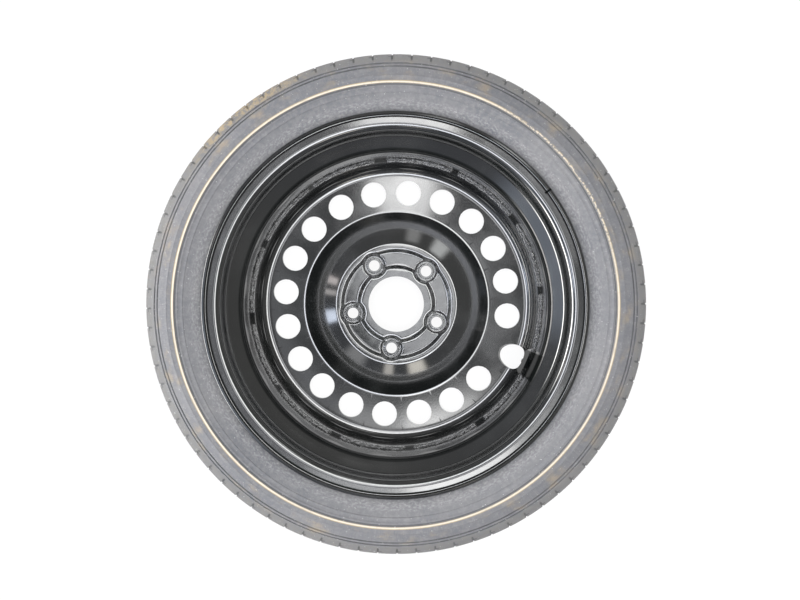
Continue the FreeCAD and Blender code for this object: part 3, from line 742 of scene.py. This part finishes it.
def rubber_material():
    """Dusty grey rubber: a broken golden line on the rib, fine ribbing and brown dirt, with painted shade in
    the grooves, in the shoulder slots and at the rib's foot.
    """
    material, graph, shader = new_material("dusty_tyre_rubber")
    times, ramp, band, mix = graph.times, graph.ramp, graph.band, graph.mix
    place, radius, angle, height = graph.axle_coordinates()

    def round_noise(angle_scale, radius_scale, detail=4.0):
        spot = graph.new("ShaderNodeCombineXYZ")
        graph.link(times(angle, angle_scale), spot.inputs[0])
        graph.link(times(radius, radius_scale), spot.inputs[1])
        return graph.noise(spot.outputs[0], 1.0, detail, 0.6)

    def near_angle(middle, half_width, soft):
        turn = graph.calc("WRAP", graph.calc("SUBTRACT", angle, middle), math.pi, -math.pi)
        return band(turn, 0.0, half_width, soft)

    broad = graph.noise(place, 9.0, 5.0)
    fine = graph.noise(place, 170.0, 6.0, 0.68)
    grain = graph.noise(place, 1100.0, 3.0, 0.6)
    specks = graph.noise(place, 620.0, 1.0, 0.4)
    grey = mix(ramp(broad, 0.3, 0.7), RUBBER["dark"], RUBBER["pale"])
    grey = mix(ramp(fine, 0.38, 0.75, 0.0, 0.5), grey, RUBBER["dust"])
    grey = mix(ramp(grain, 0.42, 0.30, 0.0, 0.35), grey, RUBBER["pores"])

    ribbing = round_noise(240.0, 0.07, 3.0)
    ribbed = band(radius, *RIBBED_RING)
    grey = mix(times(ribbed, ramp(ribbing, 0.50, 0.40, 0.0, 0.35)), grey, RUBBER["ribbing"])
    scrape = round_noise(60.0, 0.5, 6.0)
    grey = mix(times(band(radius, *SCUFFED_RING), ramp(scrape, 0.42, 0.66, 0.0, 0.5)), grey, RUBBER["scuff"])
    shoulder = ramp(radius, 274.5, 279.0)
    grey = mix(times(shoulder, ramp(fine, 0.25, 0.7, 0.15, 0.75)), grey, RUBBER["shoulder"])

    smear = round_noise(9.0, 0.05, 6.0)
    dirt = times(band(radius, *DIRTY_RING), ramp(smear, 0.50, 0.72, 0.0, 0.5))
    brown = times(near_angle(DIRT_ANGLE, 0.12, 0.25), times(shoulder, ramp(fine, 0.4, 0.6)))
    grey = mix(graph.calc("MAXIMUM", dirt, times(brown, 0.8)), grey, RUBBER["dirt"])

    # Painted shade: near black inside the cut shoulder slots and in a hook beside each slot, off the tread's
    # middle
    count, tread_edge = SHOULDER_SLOT["count"], SHOULDER_SLOT["tread_z"]
    turns = times(angle, count / (2.0 * math.pi))
    phase = graph.calc("FRACT", graph.calc("ADD", turns, float(count)))
    painted_slot_shade = times(band(phase, 0.5, 0.04, 0.03), ramp(radius, 279.5, 281.5))
    painted_hook_shade = times(band(phase, 0.60, 0.09, 0.03), band(radius, *HOOK_SHADE_RING))
    outside = ramp(graph.calc("ABSOLUTE", height), (tread_edge - 0.5) * MM, tread_edge * MM)
    notch = times(graph.calc("MAXIMUM", painted_slot_shade, painted_hook_shade), outside)
    grey = mix(times(notch, 0.55), grey, RUBBER["notch"])
    # Painted shade in the shoulder grooves, stronger in some stretches than others
    for shaded_groove in SHOULDER_GROOVES["radii"]:
        dark = times(band(radius, shaded_groove, 0.55, 0.7), ramp(smear, 0.2, 0.6, 0.9, 0.45))
        grey = mix(dark, grey, RUBBER["shaded_groove"])

    rub = round_noise(6.0, 0.06, 7.0)
    chips = round_noise(90.0, 0.4, 4.0)
    lost = times(near_angle(RIB_BREAK_ANGLE, 0.25, 0.3), ramp(chips, 0.44, 0.56))
    kept = graph.calc("SUBTRACT", ramp(rub, 0.25, 0.5, 0.45, 1.0), lost, clamp=True)
    kept = times(kept, ramp(chips, 0.25, 0.45, 0.35, 1.0))
    grey = mix(times(band(radius, *RIB_EDGE_RING), kept), grey, RUBBER["rib_edge"])
    grey = mix(times(band(radius, *RIB_CORE_RING), kept), grey, RUBBER["rib_core"])
    # Painted shade along the rib's inner foot
    grey = mix(times(band(radius, *RIB_FOOT_SHADE_RING), 0.7), grey, RUBBER["notch"])
    grey = mix(ramp(specks, 0.73, 0.77, 0.0, 0.8), grey, RUBBER["specks"])

    graph.link(grey, shader.inputs["Base Color"])
    graph.link(ramp(fine, 0.3, 0.7, 0.55, 0.82), shader.inputs["Roughness"])
    shader.inputs["Specular IOR Level"].default_value = 0.4
    relief = graph.calc("MULTIPLY_ADD", grain, 0.4, fine)
    relief = graph.calc("MULTIPLY_ADD", times(ribbing, ribbed), 0.8, relief)
    graph.link(graph.bump(relief, 0.5, 0.0007), shader.inputs["Normal"])
    return material


BLACK = (0.0055, 0.0064, 0.0062)
PALE_DUST = (0.42, 0.44, 0.42)


def paint_material(name, grain_scale, grain_height, well_gloss, rough):
    """Glossy black paint over a grain, with thin dust and pale specks.

    The rim's well has a gloss of its own, the rim's seam is a dull line on the lip, and the paint is
    dull where the valve's vent cuts the disc's flange.
    """
    material, graph, shader = new_material(name)
    times, ramp, band = graph.times, graph.ramp, graph.band
    place, radius, angle, _ = graph.axle_coordinates()
    film = graph.noise(place, 14.0, 6.0, 0.6)
    wear = graph.noise(place, 120.0, 6.0, 0.65)
    peel = graph.noise(place, grain_scale, 2.0, 0.4)
    specks = graph.noise(place, 1500.0, 2.0, 0.5)
    dust = graph.calc("ADD", ramp(film, 0.42, 0.75, 0.0, 0.018), ramp(specks, 0.72, 0.80, 0.0, 0.16))
    hub = ramp(radius, HUB_RADIUS - 2.0, HUB_RADIUS + 1.0, 1.0, 0.0)
    dust = graph.calc("ADD", dust, times(hub, ramp(wear, 0.38, 0.66, 0.0, 0.10)))
    graph.link(graph.mix(dust, BLACK, PALE_DUST), shader.inputs["Base Color"])
    graph.link(ramp(film, 0.35, 0.7, rough, rough * 2.2), shader.inputs["Roughness"])
    bright = ramp(radius, WELL_RADIUS - 8.0, WELL_RADIUS - 4.0, 1.0, well_gloss)
    bright = graph.calc("MAXIMUM", bright, ramp(radius, WELL_RADIUS + 0.5, WELL_RADIUS + 3.0))
    seam = band(graph.calc("SUBTRACT", angle, SEAM_ANGLE), 0.0, 0.004, 0.004)
    seam = times(seam, ramp(radius, LIP_RADIUS - 8.0, LIP_RADIUS - 6.5))
    bright = times(bright, graph.calc("SUBTRACT", 1.0, seam))
    cut = times(band(angle, 0.0, 0.085, 0.015), band(radius, WELL_RADIUS - 8.0, 8.0, 1.5))
    bright = times(bright, graph.calc("MULTIPLY_ADD", cut, -0.97, 1.0))
    graph.link(bright, shader.inputs["Specular IOR Level"])
    graph.link(bright, shader.inputs["Coat Weight"])
    shader.inputs["Coat IOR"].default_value = 1.8
    shader.inputs["Coat Roughness"].default_value = rough * 0.5
    graph.link(graph.bump(peel, 1.0, grain_height), shader.inputs["Normal"])
    return material


def plain_material(name, dark, pale, rough, metallic=0.0):
    """A material with a fine mottle between two colours, for the valve's small pieces."""
    material, graph, shader = new_material(name)
    mottle = graph.noise(graph.new("ShaderNodeTexCoord").outputs["Object"], 300.0, 5.0)
    graph.link(graph.mix(graph.ramp(mottle, 0.3, 0.7), dark, pale), shader.inputs["Base Color"])
    graph.link(graph.ramp(mottle, 0.3, 0.7, rough * 0.8, rough * 1.2), shader.inputs["Roughness"])
    shader.inputs["Metallic"].default_value = metallic
    graph.link(graph.bump(mottle, 0.1, 0.0001), shader.inputs["Normal"])
    return material


PAINT = paint_material("black_gloss_paint", 420.0, 0.00003, 0.25, 0.10)
WELD_PAINT = paint_material("painted_weld", 170.0, 0.0040, 1.3, 0.04)
VALVE_RUBBER = plain_material("valve_rubber", (0.02, 0.02, 0.02), (0.045, 0.045, 0.045), 0.6)
BRASS = plain_material("brass", (0.55, 0.38, 0.14), (0.70, 0.52, 0.22), 0.3, metallic=1.0)
PLATED_STEEL = plain_material("plated_steel", (0.50, 0.50, 0.49), (0.66, 0.66, 0.65), 0.28, metallic=1.0)
SEAL = plain_material("seal_ring", (0.74, 0.74, 0.71), (0.84, 0.84, 0.82), 0.55)
CAP_PLASTIC = plain_material("cap_plastic", (0.02, 0.02, 0.022), (0.04, 0.04, 0.042), 0.42)

make_tyre(rubber_material())
make_rim(PAINT)
make_disc(PAINT)
make_weld(WELD_PAINT)
make_valve(VALVE_RUBBER, BRASS, CAP_PLASTIC)
make_spring(PLATED_STEEL)
CORE_MATERIALS = {"core_body": BRASS, "core_seal": SEAL, "core_pin": PLATED_STEEL, "cap_seal": VALVE_RUBBER}
for node_name, node_material in CORE_MATERIALS.items():
    frame["nodes"][node_name].data.materials.clear()
    frame["nodes"][node_name].data.materials.append(node_material)

VALVE_BEARING = math.radians(24.2)
VIEW_RIGHT = Vector((math.cos(VALVE_BEARING), math.sin(VALVE_BEARING), 0.0))
VIEW_UP = Vector((-math.sin(VALVE_BEARING), math.cos(VALVE_BEARING), 0.0))
IMAGE_WIDTH = 800
FOCAL_PIXELS = 601.0
CAMERA_HEIGHT = 0.735
CAMERA_SIDE = (0.0156, 0.0197)
CENTRE_SIDE = (0.0055, 0.0061)


def add_camera():
    """A camera almost on the axle, turned so that the valve lies below the right of the picture."""
    data = bpy.data.cameras.new("camera")
    data.sensor_width = 36.0
    data.lens = data.sensor_width * FOCAL_PIXELS / IMAGE_WIDTH
    camera = bpy.data.objects.new("camera", data)
    bpy.context.collection.objects.link(camera)
    place = VIEW_RIGHT * CAMERA_SIDE[0] + VIEW_UP * CAMERA_SIDE[1] + Vector((0.0, 0.0, CAMERA_HEIGHT))
    target = VIEW_RIGHT * CENTRE_SIDE[0] + VIEW_UP * CENTRE_SIDE[1]
    back = (place - target).normalized()
    right = VIEW_UP.cross(back).normalized()
    up = back.cross(right)
    camera.matrix_world = Matrix((
        (right.x, up.x, back.x, place.x), (right.y, up.y, back.y, place.y),
        (right.z, up.z, back.z, place.z), (0.0, 0.0, 0.0, 1.0)))
    bpy.context.scene.camera = camera


FLOOR_HALF_SIZE = 30.0
FLOOR_WHITE = 0.9


def add_floor():
    """A plain pale floor, near white to the camera, that keeps the shadow and is clear from below."""
    material, graph, shader = new_material("pale_floor")
    shader.inputs["Base Color"].default_value = (0.85, 0.85, 0.85, 1.0)
    shader.inputs["Roughness"].default_value = 0.9
    path = graph.new("ShaderNodeLightPath").outputs
    seen = graph.calc("ADD", path["Is Camera Ray"], path["Is Glossy Ray"])
    seen = graph.calc("ADD", seen, path["Is Transmission Ray"], clamp=True)

    def mix_shader(share, first, second):
        made = graph.new("ShaderNodeMixShader")
        for socket, value in zip(made.inputs, (share, first, second)):
            graph.link(value, socket)
        return made.outputs[0]

    glow = graph.new("ShaderNodeEmission").outputs[0]
    clear = graph.new("ShaderNodeBsdfTransparent").outputs[0]
    above = mix_shader(graph.times(seen, FLOOR_WHITE), shader.outputs[0], glow)
    from_below = graph.new("ShaderNodeNewGeometry").outputs["Backfacing"]
    graph.link(mix_shader(from_below, above, clear), graph.nodes["Material Output"].inputs[0])
    half = FLOOR_HALF_SIZE
    mesh = bpy.data.meshes.new("floor")
    corners = [(-half, -half, FLOOR_Z), (half, -half, FLOOR_Z), (half, half, FLOOR_Z), (-half, half, FLOOR_Z)]
    mesh.from_pydata(corners, [], [(0, 1, 2, 3)])
    floor = bpy.data.objects.new("floor", mesh)
    bpy.context.collection.objects.link(floor)
    floor.data.materials.append(material)


# The room that lights the wheel: slants are from upright, in degrees
ROOM = {"strength": 0.23, "horizon": 0.7, "cool": (0.93, 0.96, 1.06), "warm": (1.0, 0.995, 0.97)}
SKY = {"slant": 26.0, "half_width": 6.0, "soft": 2.5, "strength": 5.8}
HAZE = {"slant": 15.2, "half_width": 2.4, "soft": 1.8, "strength": 0.4}
OVERHEAD = {"bearing": 5.0, "slant": 1.2, "radius": 5.4, "soft": 1.6, "strength": 2.0}

# Soft glows of the room: bearing clockwise from the picture's right with half a width, slant with
# half a height, soft edge, strength and tint
GLOWS = [
    (268.0, 12.0, 11.0, 2.5, 11.0, 5.0, (1.0, 1.0, 1.0)),
    (75.0, 12.0, 16.6, 0.8, 12.0, 2.4, (1.0, 1.0, 0.98)),
    (318.0, 12.0, 16.6, 0.8, 12.0, 0.9, (0.92, 0.97, 1.05)),
    (168.0, 3.0, 47.4, 2.6, 4.4, 4.6, (0.86, 0.95, 1.12)),
    (198.0, 1.0, 48.2, 2.6, 4.0, 2.8, (1.06, 0.97, 0.95)),
    (188.0, 0.6, 46.4, 2.6, 3.2, 2.2, (1.04, 0.98, 0.96)),
    (308.0, 3.0, 47.0, 2.6, 7.0, 2.2, (0.98, 1.0, 1.0)),
    (283.0, 2.0, 48.0, 2.6, 7.0, 1.0, (1.0, 1.0, 1.0)),
    (74.0, 4.0, 47.4, 2.6, 6.0, 3.0, (1.05, 1.0, 0.90)),
    (98.0, 1.5, 46.8, 2.6, 4.4, 2.2, (1.05, 1.0, 0.92)),
    (128.0, 4.0, 47.0, 2.6, 9.0, 0.9, (1.0, 1.0, 1.0)),
    (172.0, 20.0, 80.0, 5.0, 18.0, 11.0, (1.0, 0.99, 0.97)),
    (160.0, 20.0, 60.0, 3.0, 16.0, 0.6, (0.82, 0.94, 1.14)),
    (75.0, 13.0, 15.4, 2.2, 6.0, 2.4, (1.0, 1.0, 1.0)),
    (78.0, 38.0, 15.4, 2.2, 6.0, 1.0, (1.0, 1.0, 1.0)),
    (315.0, 30.0, 15.4, 2.2, 6.0, 1.5, (1.0, 1.0, 1.0)),
]


def add_world():
    """A soft room: a bright ring of sky round the camera, and glows that the paint mirrors."""
    world = bpy.data.worlds.new("room")
    bpy.context.scene.world = world
    graph = Graph(world)
    direction = graph.new("ShaderNodeTexCoord").outputs["Generated"]

    def along(axis):
        made = graph.new("ShaderNodeVectorMath")
        made.operation = "DOT_PRODUCT"
        graph.link(direction, made.inputs[0])
        made.inputs[1].default_value = axis
        return made.outputs["Value"]

    def degrees(value):
        return graph.times(value, 180.0 / math.pi)

    def lit(total, amount, tint):
        made = graph.new("ShaderNodeVectorMath")
        made.operation = "MULTIPLY_ADD"
        graph.link(amount, made.inputs[0])
        made.inputs[1].default_value = tint
        graph.link(total, made.inputs[2])
        return made.outputs[0]

    def toward(bearing, slant):
        turn, lean = math.radians(bearing), math.radians(slant)
        side = VIEW_RIGHT * math.cos(turn) - VIEW_UP * math.sin(turn)
        return side * math.sin(lean) + Vector((0.0, 0.0, math.cos(lean)))

    slant = degrees(graph.calc("ARCCOSINE", along((0.0, 0.0, 1.0))))
    bearing = degrees(graph.calc("ARCTAN2", along(-VIEW_UP), along(VIEW_RIGHT)))
    corner = graph.ramp(along((VIEW_UP * 0.6 + VIEW_RIGHT * 0.8).normalized()), -0.9, 0.9)
    plain = graph.ramp(slant, 84.0, 90.0, ROOM["strength"], ROOM["strength"] + ROOM["horizon"])
    for ring in (SKY, HAZE):
        shown = graph.band(slant, ring["slant"], ring["half_width"], ring["soft"])
        plain = graph.calc("MULTIPLY_ADD", shown, ring["strength"], plain)
    away = degrees(graph.calc("ARCCOSINE", along(toward(OVERHEAD["bearing"], OVERHEAD["slant"]))))
    overhead = graph.ramp(away, OVERHEAD["radius"], OVERHEAD["radius"] + OVERHEAD["soft"],
                          OVERHEAD["strength"], 0.0)
    plain = graph.calc("ADD", plain, overhead)
    colour = graph.new("ShaderNodeVectorMath")
    colour.operation = "SCALE"
    graph.link(graph.mix(corner, ROOM["cool"], ROOM["warm"]), colour.inputs[0])
    graph.link(plain, colour.inputs["Scale"])
    total = colour.outputs[0]
    for middle, across, height, half_height, soft, strength, tint in GLOWS:
        turn = graph.calc("WRAP", graph.calc("SUBTRACT", bearing, middle), 180.0, -180.0)
        sideways = graph.band(turn, 0.0, across, soft)
        upward = graph.band(slant, height, half_height, soft * 0.5)
        total = lit(total, graph.times(graph.times(sideways, upward), strength), tint)
    graph.link(total, graph.nodes["Background"].inputs["Color"])


add_camera()
add_floor()
add_world()
bpy.context.scene.view_settings.view_transform = "Standard"
